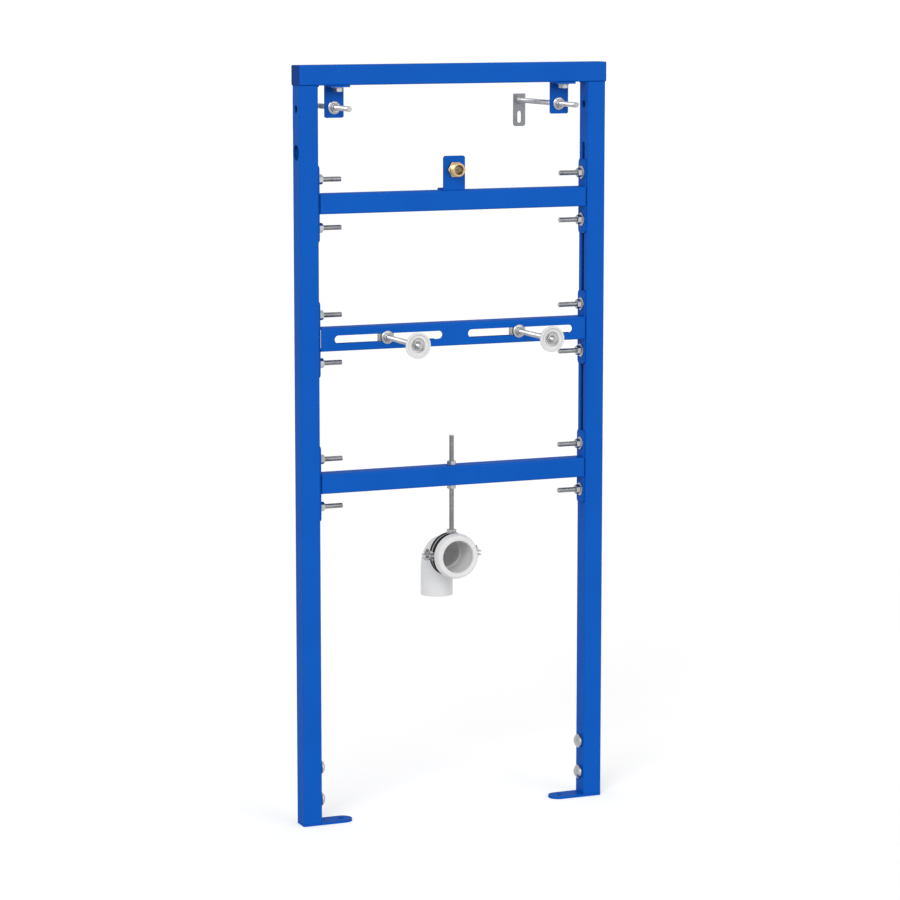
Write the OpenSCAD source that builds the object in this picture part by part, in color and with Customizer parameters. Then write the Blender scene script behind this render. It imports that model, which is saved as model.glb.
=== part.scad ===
// Wall-hung urinal installation frame, in millimetres.
// Two square-tube posts and a top rail carry three height-adjustable crossbars, a water
// inlet bracket, two fixing studs, a clamped drain bend, wall ties and bolted feet.
// The origin is the middle of the left foot's sole, on the floor. X runs along the frame,
// Y runs from the front to the wall and Z is up.

/* [Frame] */
// Width over the two posts
frame_w = 500; // [480:10:600]
// Height from the floor to the top of the rail
frame_h = 1150; // [1130:10:1300]
// Side of the square tube of posts, rail and crossbars
tube_s = 30; // [29:1:34]
// Wall of every tube
tube_wall = 2; // [1.5:0.25:2.5]
// Outer corner radius of every tube
tube_r = 2.5; // [1:0.5:3]

/* [Crossbars] */
// Drop of the upper crossbar's middle below the top of the frame
upper_bar_drop = 205; // [195:5:240]
// Drop of the slotted crossbar's middle below the top of the frame
slotted_bar_drop = 407.5; // [380:2.5:450]
// Drop of the lower crossbar's middle below the top of the frame
lower_bar_drop = 625; // [580:5:630]
// Height of the slotted crossbar's channel
channel_h = 35; // [33:1:38]
// Height of the channel's return lips at the rear
channel_lip = 9; // [6:0.5:10]
// Width of the gap in the lips at mid-span
lip_gap_mid = 47; // [20:1:60]
// Length of channel without lips at each end
lip_gap_end = 14.5; // [5:0.5:20]
// Height of the two fixing slots
slot_h = 12; // [10:0.5:14]
// Distance of each fixing slot from the crossbar's end
slot_end = 21.5; // [19:0.5:30]
// Bridge left between the two slots
slot_bridge = 42; // [36:2:60]

/* [Clamp plates] */
// Length of the plate at each crossbar end
saddle_len = 114; // [106:2:130]
// Width of the plate
saddle_w = 23.5; // [20.5:0.5:26]
// Thickness of the plate
saddle_t = 2.5; // [2:0.5:4]
// Corner radius of the plate
saddle_r = 6; // [2:0.5:9]
// Distance between the two studs of a plate
stud_pitch = 72; // [68:2:80]
// Length of stud that stands out of the plate
stud_reach = 38; // [20:1:50]

/* [Posts] */
// Width of the adjusting slot in a post's inner wall
post_slot_w = 9; // [8.5:0.25:10]
// Drop of the adjusting slot's lower end below the top of the frame
post_slot_low_drop = 674; // [674:2:750]
// Drop of the adjusting slot's upper end below the top of the frame
post_slot_high_drop = 122; // [110:2:140]
// Diameter of the side fixing hole through both walls
side_hole_d = 11.5; // [9:0.5:14]
// Drop of the side fixing hole below the top of the frame
side_hole_drop = 64.5; // [55:0.5:72]
// Diameter of the access hole in the outer wall
access_hole_d = 23; // [18:1:25]
// Drop of the access hole below the top of the frame
access_hole_drop = 129; // [110:1:150]

/* [Feet] */
// Length of a foot's sole
foot_len = 83; // [75:1:110]
// Thickness of a foot's sole
foot_t = 4; // [3:0.5:6]
// Diameter of the floor anchor hole
anchor_d = 9; // [7:0.5:11]
// Distance of the anchor hole from the rounded tip
anchor_inset = 18; // [14:0.5:22]
// Length of the inner leg tube
leg_len = 250; // [120:10:380]
// Height of the lower foot bolt
foot_bolt_low = 38; // [28:1:50]
// Distance between the two foot bolts
foot_bolt_pitch = 49.5; // [40:0.5:60]
// Diameter of a foot bolt's domed head
dome_d = 21.5; // [16:0.5:24]
// Height of a foot bolt's domed head
dome_h = 9.5; // [5:0.5:11]
// Diameter of a foot bolt's shank
foot_bolt_d = 10; // [8:0.5:12]

/* [Threaded rod] */
// Diameter of every threaded rod, stud and small bolt
rod_d = 8; // [7:0.25:8]
// Clearance of a rod or bolt in its hole, on the radius
rod_gap = 0.25; // [0.15:0.05:0.4]
// Clearance of a nut round its rod, on the radius
nut_gap = 0.1; // [0.05:0.05:0.2]
// Width of a nut across its flats
nut_af = 13; // [12:0.5:14]
// Height of a plain nut
nut_h = 6.5; // [5:0.25:7]
// Diameter of a flange nut's flange
flange_d = 20; // [16:0.5:20]
// Thickness of a flange nut's flange
flange_t = 1.8; // [1.2:0.2:2.4]

/* [Top brackets and wall ties] */
// Distance of each top bracket's middle from the side of the frame
bracket_inset = 65.5; // [64:0.5:100]
// Width of a top bracket
bracket_w = 30; // [26:1:34]
// Drop of a top bracket below the rail
bracket_drop = 49; // [45:1:60]
// Thickness of every bracket's plate
plate_t = 3; // [2:0.5:4]
// Drop of the wall rod below the rail
wall_rod_drop = 33.6; // [30:0.2:36]
// Reach of a wall rod in front of the posts' middle
wall_rod_front = 50; // [30:1:70]
// Distance of the wall from the posts' middle
wall_y = 162; // [60:1:200]
// Width of a wall plate
wall_plate_w = 20; // [16:1:24]
// Height of a wall plate
wall_plate_h = 51; // [48:1:64]
// Height of a wall plate above its rod
wall_plate_head = 10; // [7:0.5:12]
// Width of a wall plate's slot
wall_slot_w = 7.2; // [5:0.2:9]
// Length of a wall plate's slot
wall_slot_len = 18.9; // [12:0.1:22]
// Distance of the slot's lower end from the plate's lower edge
wall_slot_foot = 5; // [4:0.5:7]

/* [Water inlet] */
// Width of the water bracket
water_w = 35; // [30:1:44]
// Height of the water bracket above its crossbar
water_h = 52; // [48:1:60]
// Height of the inlet's axis above its crossbar
water_axis_h = 31.5; // [26:0.5:34]
// Set-back of the water bracket from the crossbar's front
water_inset = 4; // [0:0.5:6]
// Width of the inlet's hexagon across its flats
inlet_af = 22; // [21:0.5:24]
// Thickness of the inlet's hexagon
inlet_hex_t = 7; // [4:0.5:9]
// Diameter of the inlet's threaded stub
inlet_d = 20.8; // [18:0.2:20.8]
// Length of the stub in front of the hexagon
inlet_front = 12.5; // [8:0.5:18]
// Diameter of the inlet's waterway
inlet_bore = 14; // [10:0.5:15]
// Width of the inlet's lock nut across its flats
inlet_nut_af = 26; // [25:0.5:28]
// Height of the inlet's lock nut
inlet_nut_h = 5; // [4:0.5:6]
// Diameter of the inlet's tail behind its lock nut
tail_d = 16.6; // [15.8:0.2:18]
// Length of the inlet's tail behind its lock nut
tail_len = 9; // [6:0.5:12]

/* [Fixing studs] */
// Distance of the left fixing stud from the middle of the frame
fixing_left = 111; // [70:1:170]
// Distance of the right fixing stud from the middle of the frame
fixing_right = 106; // [70:1:170]
// Reach of a fixing stud in front of the slotted crossbar
fixing_reach = 130; // [80:5:180]
// Length of stud that shows in front of the cup's rim
fixing_tip = 8.5; // [4:0.5:20]
// Diameter of the fixing cup's rim
cup_d = 39; // [32:1:46]
// Depth of the fixing cup
cup_h = 13; // [11:0.5:18]
// Width of the sliding nut block in the channel
block_w = 22; // [18:1:26]
// Depth of the sliding nut block
block_t = 12; // [8:0.5:14]

/* [Drain] */
// Drop of the drain socket's axis below the lower crossbar's middle
drain_drop = 124; // [105:1:145]
// Length of the drain rod above the lower crossbar
drain_rod_rise = 46; // [20:1:80]
// Bore of the drain socket
socket_bore = 50.4; // [48:0.2:51]
// Wall of the drain socket
socket_wall = 3; // [2.5:0.25:4]
// Depth of the drain socket
socket_depth = 47.5; // [44:0.5:50]
// Diameter of the collar at the socket's mouth
collar_d = 70; // [64:1:72]
// Width of the collar
collar_w = 13; // [11:0.5:15]
// Reach of the socket in front of the drain rod
socket_front = 27; // [26:0.5:29]
// Outer diameter of the drain's spigot
spigot_d = 50; // [46:0.5:50]
// Wall of the drain bend and its spigot
pipe_wall = 2.5; // [2:0.25:4]
// Bend radius of the drain on its centre line
bend_r = 32; // [28:1:40]
// Length of the straight spigot below the bend
spigot_len = 40; // [30:1:80]

/* [Pipe clamp] */
// Width of the clamp's steel band
band_w = 10; // [9:0.5:11]
// Thickness of the clamp's steel band
band_t = 2; // [1.5:0.25:2.5]
// Thickness of the rubber lining under the band
lining_t = 3; // [2:0.25:4]
// Height of the lining's rolled edge over the band
lining_lip = 1; // [0.4:0.2:1.6]
// Width of the lining's rolled edge
lining_edge = 1.5; // [1:0.25:2.5]
// Reach of the lining's rolled edge over the band's face
lining_lap = 1.5; // [1:0.25:2]
// Gap between the two ears of a pair
ear_gap = 3.4; // [2:0.2:4]
// Reach of the ears from the drain's axis
ear_reach = 47.5; // [46:0.5:52]
// Distance of the clamp screws from the drain's axis
screw_x = 40.5; // [40.25:0.25:41]
// Diameter of a clamp screw
screw_d = 5; // [4:0.25:5]
// Height of the threaded boss on the clamp
boss_h = 6; // [5:0.5:12]
// Diameter of the threaded boss on the clamp
boss_d = 15; // [13:0.5:17]

/* [Hidden] */
$fn = 64;

frame_blue = [0.05, 0.33, 0.78];
cap_blue = [0.03, 0.24, 0.55];
zinc = [0.72, 0.73, 0.74];
brass = [0.80, 0.66, 0.36];
white_plastic = [0.92, 0.92, 0.91];
black_rubber = [0.08, 0.08, 0.08];

cut = 1;
fit_gap = 0.3;
sink = 0.5;
mid_x = frame_w / 2 - foot_len / 2;
front_y = -tube_s / 2;
rear_y = tube_s / 2;
post_in = frame_w / 2 - tube_s;
post_x = post_in + tube_s / 2;
rail_low = frame_h - tube_s;
upper_bar_z = frame_h - upper_bar_drop;
slotted_bar_z = frame_h - slotted_bar_drop;
lower_bar_z = frame_h - lower_bar_drop;
bar_half = post_in - saddle_t;
rod_r = rod_d / 2;
hole_r = rod_r + rod_gap;
nut_total = nut_h + flange_t;
hex_corner = 2 / sqrt(3);

leg_gap = 0.4;
leg_s = tube_s - 2 * tube_wall - 2 * leg_gap;
leg_r = 1;
cap_t = 1;

bracket_x = frame_w / 2 - bracket_inset;
bracket_bolt_y = -2;
wall_rod_z = rail_low - wall_rod_drop;
water_z = upper_bar_z + tube_s / 2 + water_axis_h;
water_front = front_y + water_inset;

channel_wall = tube_wall;
stud_over = 6;
fixing_tail = front_y + channel_wall + block_t + stud_over;
cup_rim_y = front_y - fixing_reach + fixing_tip;
cup_hub_wall = 4.5;
cup_hub_d = nut_af * hex_corner + 2 * cup_hub_wall;
cup_recess = 7;
cup_nut_h = 5;

socket_r = socket_bore / 2 + socket_wall;
band_in = socket_r + lining_t;
band_out = band_in + band_t;
lining_w = band_w + 2 * lining_edge;
ear_top = ear_gap / 2 + band_t;
drain_z = lower_bar_z - drain_drop;
drain_mouth = -socket_front;
neck_y = drain_mouth + socket_depth;
neck_len = 6;
bend_y = neck_y + neck_len;
spigot_y = bend_y + bend_r;
spigot_low = drain_z - bend_r - spigot_len;
boss_top = drain_z + band_out + boss_h;
boss_foot = sqrt(band_out * band_out - boss_d * boss_d / 4);

// Moves from the middle of the frame to the origin at the left foot
module from_middle() {
    translate([mid_x, 0, 0]) children();
}

// One side of the frame: -1 is the left side, mirrored, and 1 the right
module on_side(side) {
    from_middle() mirror([side < 0 ? 1 : 0, 0, 0]) children();
}

module on_both_sides() {
    for (side = [-1, 1]) on_side(side) children();
}

// Rectangle with round corners, centred
module round_rect(w, d, r) {
    if (r <= 0) {
        square([w, d], center = true);
    } else {
        union() {
            square([w - 2 * r, d], center = true);
            square([w, d - 2 * r], center = true);
            for (x = [-1, 1], y = [-1, 1]) {
                translate([x * (w / 2 - r), y * (d / 2 - r)]) circle(r);
            }
        }
    }
}

// Section of a rectangular tube
module tube_section(w, d) {
    difference() {
        round_rect(w, d, tube_r);
        round_rect(w - 2 * tube_wall, d - 2 * tube_wall, max(tube_r - tube_wall, 0));
    }
}

// Turns what is drawn upright along Z to lie along X
module along_x() {
    rotate([90, 0, 90]) children();
}

// Turns what is drawn upright along Z to point to the front, along -Y
module to_front() {
    rotate([90, 0, 0]) children();
}

// Slot outline of a full length and height
module slot_outline(len, h) {
    union() {
        square([len - h, h], center = true);
        for (x = [-1, 1]) translate([x * (len - h) / 2, 0]) circle(h / 2);
    }
}

module hex_outline(af) {
    circle(d = af * hex_corner, $fn = 6);
}

// Plain hexagon nut standing on Z = 0
module plain_nut(bore_r, af = nut_af, h = nut_h) {
    difference() {
        linear_extrude(h) hex_outline(af);
        translate([0, 0, -cut]) cylinder(r = bore_r, h = h + 2 * cut);
    }
}

// Hexagon nut with a round flange on Z = 0
module flange_nut(bore_r) {
    difference() {
        union() {
            cylinder(d = flange_d, h = flange_t);
            linear_extrude(nut_total) hex_outline(nut_af);
        }
        translate([0, 0, -cut]) cylinder(r = bore_r, h = nut_total + 2 * cut);
    }
}

// Threaded rod with a small chamfer at each end, standing on Z = 0
module rod(len, r = rod_r) {
    chamfer = 0.8;
    rotate_extrude() polygon([
        [0, 0], [r - chamfer, 0], [r, chamfer], [r, len - chamfer], [r - chamfer, len], [0, len]
    ]);
}

// Post tube on the right side, with its slot and holes
module post() {
    slot_mid = frame_h - (post_slot_low_drop + post_slot_high_drop) / 2;
    slot_run = post_slot_low_drop - post_slot_high_drop;
    side_z = frame_h - side_hole_drop;
    access_z = frame_h - access_hole_drop;
    color(frame_blue) difference() {
        translate([post_x, 0, foot_t])
            linear_extrude(rail_low - foot_t) tube_section(tube_s, tube_s);
        translate([post_in - cut, 0, slot_mid]) rotate([0, 90, 0])
            linear_extrude(tube_wall + 2 * cut) slot_outline(slot_run, post_slot_w);
        translate([post_in - cut, 0, side_z]) rotate([0, 90, 0])
            cylinder(d = side_hole_d, h = tube_s + 2 * cut);
        translate([post_x, 0, access_z]) rotate([0, 90, 0])
            cylinder(d = access_hole_d, h = tube_s);
        for (z = [0, foot_bolt_pitch]) {
            translate([post_in - cut, 0, foot_bolt_low + z]) rotate([0, 90, 0])
                cylinder(r = foot_bolt_d / 2 + rod_gap, h = tube_wall + 2 * cut);
        }
    }
}

// Rail across the posts, with a bolt hole over each top bracket
module top_rail() {
    color(frame_blue) difference() {
        from_middle() translate([-frame_w / 2, 0, frame_h - tube_s / 2])
            along_x() linear_extrude(frame_w) tube_section(tube_s, tube_s);
        on_both_sides() translate([bracket_x, bracket_bolt_y, rail_low - cut])
            cylinder(r = hole_r, h = tube_wall + 2 * cut);
    }
}

// Push-in cap that closes the right end of the rail
module end_cap() {
    plug_s = tube_s - 2 * tube_wall - 2 * fit_gap;
    plug_len = 10;
    plug_wall = 2;
    plug_r = 1;
    color(cap_blue) translate([frame_w / 2, 0, frame_h - tube_s / 2]) along_x() union() {
        linear_extrude(cap_t) round_rect(tube_s, tube_s, tube_r);
        translate([0, 0, -plug_len]) linear_extrude(plug_len) difference() {
            round_rect(plug_s, plug_s, plug_r);
            square(plug_s - 2 * plug_wall, center = true);
        }
    }
}

// Sole with a rounded tip and the leg tube that slides in the post, right side
module foot() {
    tip_x = frame_w / 2 - foot_len;
    color(frame_blue) difference() {
        union() {
            linear_extrude(foot_t) union() {
                translate([tip_x + tube_s / 2, 0]) circle(tube_s / 2);
                translate([tip_x + tube_s / 2, -tube_s / 2])
                    square([foot_len - tube_s / 2 - tube_r, tube_s]);
                translate([post_x, 0]) round_rect(tube_s, tube_s, tube_r);
            }
            translate([post_x, 0, 0]) linear_extrude(foot_t + leg_len) difference() {
                round_rect(leg_s, leg_s, leg_r);
                square(leg_s - 2 * tube_wall, center = true);
            }
        }
        translate([tip_x + anchor_inset, 0, -cut]) cylinder(d = anchor_d, h = foot_t + 2 * cut);
        for (z = [0, foot_bolt_pitch]) {
            translate([post_in, 0, foot_bolt_low + z]) rotate([0, 90, 0])
                cylinder(r = foot_bolt_d / 2 + rod_gap, h = tube_s / 2);
        }
    }
}

// Domed bolt through the post's inner wall into the leg, head on the right post
module foot_bolt() {
    seat_h = 2.4;
    seat_in = 2.2;
    rim_t = 1.6;
    shank_over = 3;
    dome_rise = dome_h - seat_h - rim_t;
    shank = 2 * tube_wall + leg_gap + shank_over;
    dome_r = (dome_d * dome_d / 4 + dome_rise * dome_rise) / (2 * dome_rise);
    color(zinc) translate([post_in, 0, 0]) rotate([0, -90, 0]) union() {
        translate([0, 0, -shank]) cylinder(d = foot_bolt_d, h = shank + cut);
        cylinder(r1 = dome_d / 2 - seat_in, r2 = dome_d / 2, h = seat_h);
        translate([0, 0, seat_h]) cylinder(d = dome_d, h = rim_t);
        translate([0, 0, seat_h + rim_t]) intersection() {
            translate([0, 0, dome_rise - dome_r]) sphere(dome_r);
            cylinder(d = dome_d, h = dome_rise + cut);
        }
    }
}

module foot_bolts() {
    on_both_sides() for (z = [0, foot_bolt_pitch]) {
        translate([0, 0, foot_bolt_low + z]) foot_bolt();
    }
}

// Square-tube crossbar between the clamp plates
module tube_crossbar(z) {
    color(frame_blue) from_middle() translate([-bar_half, 0, z])
        along_x() linear_extrude(2 * bar_half) tube_section(tube_s, tube_s);
}

module lower_crossbar() {
    difference() {
        tube_crossbar(lower_bar_z);
        from_middle() translate([0, 0, lower_bar_z - tube_s])
            cylinder(r = hole_r, h = 2 * tube_s);
    }
}

// Channel open at the rear, with return lips and two long fixing slots
module slotted_crossbar() {
    lip_run = bar_half - lip_gap_end - lip_gap_mid / 2;
    slot_len = bar_half - slot_end - slot_bridge / 2;
    slot_mid = (slot_bridge + slot_len) / 2;
    inner_h = channel_h - 2 * channel_wall;
    color(frame_blue) from_middle() translate([0, 0, slotted_bar_z]) difference() {
        translate([-bar_half, 0, 0]) along_x() linear_extrude(2 * bar_half)
            difference() {
                round_rect(tube_s, channel_h, tube_r);
                round_rect(tube_s - 2 * channel_wall, inner_h, max(tube_r - channel_wall, 0));
                translate([tube_s / 2 - channel_wall - cut, -channel_h / 2 + channel_lip])
                    square([channel_wall + 2 * cut, channel_h - 2 * channel_lip]);
            }
        for (side = [-1, 1]) translate([side * slot_mid, 0, 0])
            to_front() linear_extrude(tube_s) slot_outline(slot_len, slot_h);
        lip_cut(-lip_gap_mid / 2, lip_gap_mid, inner_h);
        for (x = [-bar_half - cut, bar_half - lip_gap_end]) lip_cut(x, lip_gap_end + cut, inner_h);
    }
}

// Takes the return lips away over a run of the channel
module lip_cut(x, run, inner_h) {
    translate([x, rear_y - channel_wall - cut, -inner_h / 2])
        cube([run, channel_wall + 2 * cut, inner_h]);
}

// Plate with two stud holes, welded to a crossbar's right end
module clamp_plate(z) {
    color(frame_blue) translate([post_in - saddle_t, 0, z]) rotate([0, 90, 0]) difference() {
        linear_extrude(saddle_t) round_rect(saddle_len, saddle_w, saddle_r);
        for (s = [-1, 1]) translate([s * stud_pitch / 2, 0, -cut])
            cylinder(r = hole_r, h = saddle_t + 2 * cut);
    }
}

// Hammer-head stud from inside the right post through its slot and a clamp plate
module clamp_stud() {
    head_len = 12;
    head_w = post_slot_w + 6;
    head_t = 4;
    head_x = post_in + tube_wall;
    len = head_x - (post_in - saddle_t - stud_reach);
    color(zinc) translate([head_x, 0, 0]) rotate([0, -90, 0]) union() {
        rod(len);
        translate([-head_len / 2, -head_w / 2, -head_t]) cube([head_len, head_w, head_t]);
    }
}

module clamp_studs(z) {
    on_both_sides() for (s = [-1, 1]) translate([0, 0, z + s * stud_pitch / 2]) clamp_stud();
}

module clamp_stud_nuts(z) {
    color(zinc) on_both_sides() for (s = [-1, 1]) {
        translate([post_in - saddle_t, 0, z + s * stud_pitch / 2]) rotate([0, -90, 0])
            flange_nut(rod_r + nut_gap);
    }
}

// Upright plate with a foot, on the upper crossbar
module water_bracket() {
    corner_r = 4;
    set_back = 2;
    foot_depth = rear_y - set_back - water_front;
    bar_top = upper_bar_z + tube_s / 2;
    color(frame_blue) from_middle() translate([0, 0, bar_top]) difference() {
        union() {
            translate([0, water_front + plate_t, 0]) to_front() linear_extrude(plate_t) union() {
                translate([-water_w / 2, 0]) square([water_w, water_h - corner_r]);
                translate([-water_w / 2 + corner_r, 0]) square([water_w - 2 * corner_r, water_h]);
                for (s = [-1, 1]) translate([s * (water_w / 2 - corner_r), water_h - corner_r])
                    circle(corner_r);
            }
            translate([-water_w / 2, water_front, 0]) cube([water_w, foot_depth, plate_t]);
        }
        translate([0, water_front + plate_t + cut, water_axis_h]) to_front()
            cylinder(r = inlet_d / 2 + nut_gap, h = plate_t + 2 * cut);
    }
}

// Brass inlet: stub and hexagon in front of the bracket, neck through it and tail behind
module water_inlet() {
    neck_over = 1;
    stub_chamfer = 1;
    neck_len = plate_t + inlet_nut_h + neck_over;
    front = inlet_hex_t + inlet_front;
    back = neck_len + tail_len;
    color(brass) from_middle() translate([0, water_front, water_z]) to_front() difference() {
        union() {
            translate([0, 0, -back]) cylinder(d = tail_d, h = tail_len + cut);
            linear_extrude(inlet_hex_t) hex_outline(inlet_af);
            translate([0, 0, -neck_len]) cylinder(d = inlet_d, h = neck_len + front - stub_chamfer);
            translate([0, 0, front - stub_chamfer])
                cylinder(d1 = inlet_d, d2 = inlet_d - 2 * stub_chamfer, h = stub_chamfer);
        }
        translate([0, 0, -back - cut]) cylinder(d = inlet_bore, h = back + front + 2 * cut);
    }
}

module water_inlet_nut() {
    color(brass) from_middle() translate([0, water_front + plate_t, water_z])
        rotate([-90, 0, 0]) plain_nut(inlet_d / 2 + nut_gap, af = inlet_nut_af, h = inlet_nut_h);
}

// Angle bracket under the rail, right side
module top_bracket() {
    corner_r = 3;
    color(frame_blue) translate([bracket_x, 0, rail_low]) difference() {
        union() {
            translate([-bracket_w / 2, front_y, -plate_t]) cube([bracket_w, tube_s, plate_t]);
            translate([0, rear_y, 0]) to_front() linear_extrude(plate_t) union() {
                translate([-bracket_w / 2, -bracket_drop + corner_r])
                    square([bracket_w, bracket_drop - corner_r]);
                translate([-bracket_w / 2 + corner_r, -bracket_drop])
                    square([bracket_w - 2 * corner_r, bracket_drop]);
                for (s = [-1, 1])
                    translate([s * (bracket_w / 2 - corner_r), -bracket_drop + corner_r])
                        circle(corner_r);
            }
        }
        translate([0, rear_y + cut, -wall_rod_drop]) to_front()
            cylinder(r = hole_r, h = plate_t + 2 * cut);
        translate([0, bracket_bolt_y, -plate_t - cut])
            cylinder(r = hole_r, h = plate_t + 2 * cut);
    }
}

// Hexagon bolts that hold the top brackets to the rail from below
module bracket_bolts() {
    washer_t = 1.4;
    washer_over = 1;
    head_h = 5.5;
    shank_over = 6;
    shank = plate_t + tube_wall + shank_over;
    bolt_z = rail_low - plate_t;
    color(zinc) on_both_sides() translate([bracket_x, bracket_bolt_y, bolt_z]) union() {
        translate([0, 0, -washer_t])
            cylinder(d = nut_af * hex_corner + 2 * washer_over, h = washer_t);
        translate([0, 0, -washer_t - head_h]) linear_extrude(head_h + sink) hex_outline(nut_af);
        translate([0, 0, -sink]) cylinder(r = rod_r, h = shank + sink);
    }
}

module wall_rod() {
    color(zinc) translate([bracket_x, wall_y - plate_t, wall_rod_z]) to_front()
        rod(wall_y - plate_t + wall_rod_front);
}

module wall_rod_nuts() {
    color(zinc) on_both_sides() translate([bracket_x, 0, wall_rod_z]) {
        translate([0, rear_y - plate_t, 0]) to_front() flange_nut(rod_r + nut_gap);
        translate([0, rear_y, 0]) rotate([-90, 0, 0]) flange_nut(rod_r + nut_gap);
    }
}

// Slotted plate at the wall end of the right rod
module wall_plate() {
    corner_r = 4;
    low = wall_plate_head - wall_plate_h;
    slot_mid = low + wall_slot_foot + wall_slot_len / 2;
    color(zinc) translate([bracket_x, wall_y, wall_rod_z]) to_front() linear_extrude(plate_t)
        difference() {
            union() {
                translate([-wall_plate_w / 2, low + corner_r])
                    square([wall_plate_w, wall_plate_h - corner_r]);
                translate([-wall_plate_w / 2 + corner_r, low])
                    square([wall_plate_w - 2 * corner_r, wall_plate_h]);
                for (s = [-1, 1]) translate([s * (wall_plate_w / 2 - corner_r), low + corner_r])
                    circle(corner_r);
            }
            translate([0, slot_mid]) rotate(90) slot_outline(wall_slot_len, wall_slot_w);
        }
}

// Places a piece at the left or right fixing stud, at the channel's front face
module at_fixing(side) {
    x = side < 0 ? -fixing_left : fixing_right;
    from_middle() translate([x, 0, slotted_bar_z]) children();
}

module fixing_stud(side) {
    color(zinc) at_fixing(side) translate([0, fixing_tail, 0]) to_front()
        rod(fixing_tail - front_y + fixing_reach);
}

module fixing_flange_nuts() {
    color(zinc) for (side = [-1, 1]) at_fixing(side) translate([0, front_y, 0]) to_front()
        flange_nut(rod_r + nut_gap);
}

// Ribbed block that slides in the channel behind a slot
module channel_nut_blocks() {
    block_gap = 2;
    block_h = channel_h - 2 * channel_wall - 2 * block_gap;
    block_y = front_y + channel_wall;
    groove_d = 2.4;
    groove_places = [0.3, 0.7];
    color(zinc) for (side = [-1, 1]) at_fixing(side) difference() {
        translate([-block_w / 2, block_y, -block_h / 2]) cube([block_w, block_t, block_h]);
        translate([0, block_y + block_t + cut, 0]) to_front()
            cylinder(r = rod_r + nut_gap, h = block_t + 2 * cut);
        for (s = [-1, 1], f = groove_places) {
            translate([s * block_w / 2, block_y + f * block_t, -block_h / 2 - cut])
                cylinder(d = groove_d, h = block_h + 2 * cut);
        }
    }
}

// Stepped plastic cup on the front of a fixing stud
module fixing_cup(side) {
    rim_r = cup_d / 2;
    hub_r = cup_hub_d / 2;
    bore = rod_r + nut_gap;
    rim_t = 3.4;
    rim_w = 3;
    edge = 0.6;
    web_drop = 2.6;
    groove_drop = 2.8;
    bevel = 1;
    taper = 0.8;
    floor_z = cup_h - cup_recess;
    color(white_plastic) at_fixing(side) translate([0, cup_rim_y + cup_h, 0]) to_front()
        rotate_extrude() polygon([
            [bore, 0], [hub_r - 2 * bevel, 0], [hub_r - bevel, bevel], [rim_r, cup_h - rim_t],
            [rim_r, cup_h - edge], [rim_r - edge, cup_h], [rim_r - rim_w, cup_h],
            [rim_r - rim_w - edge, cup_h - groove_drop + edge],
            [hub_r + taper, cup_h - groove_drop], [hub_r, cup_h - web_drop],
            [hub_r - taper, cup_h - web_drop], [hub_r - taper - edge, floor_z], [bore, floor_z]
        ]);
}

module cup_nuts() {
    color(zinc) for (side = [-1, 1]) at_fixing(side)
        translate([0, cup_rim_y + cup_recess, 0]) to_front()
            plain_nut(rod_r + nut_gap, h = cup_nut_h);
}

module drain_rod() {
    seat = 2;
    low = drain_z + band_out + seat;
    high = lower_bar_z + tube_s / 2 + drain_rod_rise;
    color(zinc) from_middle() translate([0, 0, low]) rod(high - low);
}

module drain_rod_nuts() {
    color(zinc) from_middle() {
        translate([0, 0, lower_bar_z + tube_s / 2]) plain_nut(rod_r + nut_gap);
        translate([0, 0, lower_bar_z - tube_s / 2 - nut_h]) plain_nut(rod_r + nut_gap);
    }
}

// Half of the clamp's outline above its split, with an ear on each side
module clamp_half_outline() {
    fillet = 3;
    bend_x = sqrt(pow(band_out + fillet, 2) - pow(ear_top + fillet, 2));
    difference() {
        union() {
            difference() {
                circle(band_out);
                translate([-2 * ear_reach, ear_gap / 2 - 2 * ear_reach])
                    square([4 * ear_reach, 2 * ear_reach]);
            }
            for (s = [-1, 1]) {
                translate([s > 0 ? band_in : -ear_reach, ear_gap / 2])
                    square([ear_reach - band_in, band_t]);
                translate([s > 0 ? band_in : -bend_x, ear_gap / 2])
                    square([bend_x - band_in, band_t + fillet]);
            }
        }
        circle(band_in);
        for (s = [-1, 1]) translate([s * bend_x, ear_top + fillet]) circle(fillet);
    }
}

// Steel half with ears, above the split of the clamp
module clamp_half() {
    screw_hole_r = screw_d / 2 + rod_gap;
    difference() {
        translate([0, band_w / 2, 0]) to_front() linear_extrude(band_w) clamp_half_outline();
        for (s = [-1, 1]) translate([s * screw_x, 0, 0])
            cylinder(r = screw_hole_r, h = band_out);
    }
}

module clamp_upper_half() {
    color(zinc) from_middle() translate([0, 0, drain_z]) difference() {
        union() {
            clamp_half();
            translate([0, 0, boss_foot - sink])
                cylinder(d = boss_d, h = boss_top - drain_z - boss_foot + sink);
        }
        translate([0, 0, band_out + sink]) cylinder(r = rod_r + nut_gap, h = 2 * boss_h);
        rotate([90, 0, 0]) translate([0, 0, -band_w]) cylinder(r = band_in, h = 2 * band_w);
    }
}

module clamp_lower_half() {
    color(zinc) from_middle() translate([0, 0, drain_z]) mirror([0, 0, 1]) clamp_half();
}

// Two half rings of rubber, with edges rolled over the band and open round the boss
module clamp_lining() {
    split_over = 3;
    split = 2 * (ear_top + split_over);
    side = lining_w / 2;
    lap = band_w / 2 - lining_lap;
    lip = band_out + lining_lip;
    color(black_rubber) from_middle() translate([0, 0, drain_z]) difference() {
        to_front() rotate_extrude() polygon([
            [socket_r, -side], [lip, -side], [lip, -lap], [band_out, -lap],
            [band_out, -band_w / 2], [band_in, -band_w / 2],
            [band_in, band_w / 2], [band_out, band_w / 2],
            [band_out, lap], [lip, lap], [lip, side], [socket_r, side]
        ]);
        translate([-ear_reach, -lining_w, -split / 2])
            cube([2 * ear_reach, 2 * lining_w, split]);
        translate([0, 0, boss_foot - sink - fit_gap])
            cylinder(d = boss_d + 2 * fit_gap, h = 2 * boss_h);
    }
}

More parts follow.
